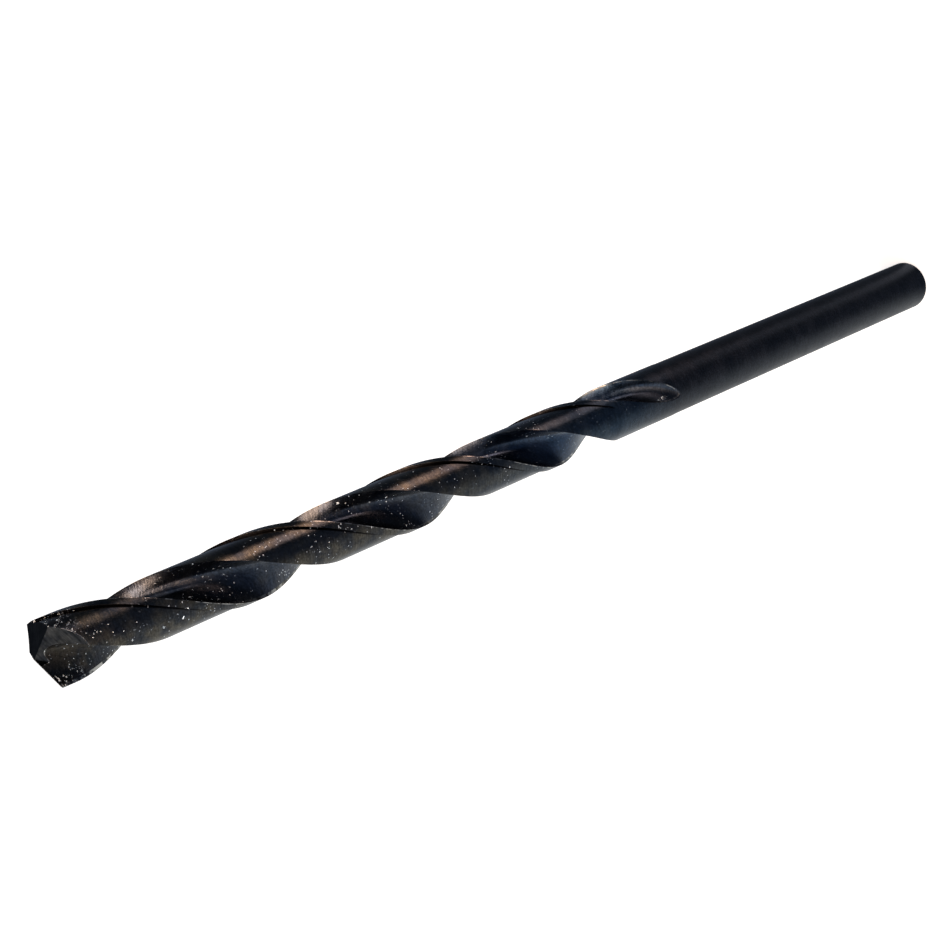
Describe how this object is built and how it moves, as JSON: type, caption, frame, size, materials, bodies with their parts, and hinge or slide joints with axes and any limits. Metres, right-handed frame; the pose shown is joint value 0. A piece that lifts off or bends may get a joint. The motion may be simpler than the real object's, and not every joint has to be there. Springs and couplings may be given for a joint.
{
  "type": "twist drill bit",
  "caption": "Slender round twist drill bit with helical flutes, a split point and a plain straight shank, for drilling holes in metal.",
  "frame": {"origin": "centre of the flat end of the shank", "axes": "+Z along the drill's axis, from the shank end to the point; +X along the direction of one lip at the point"},
  "size_m": [0.0036, 0.0036, 0.073],
  "materials": {
    "drill_bit": "satin"
  },
  "bodies": {
    "root": {"drill_bit": "drill_bit"}
  },
  "joints": []
}
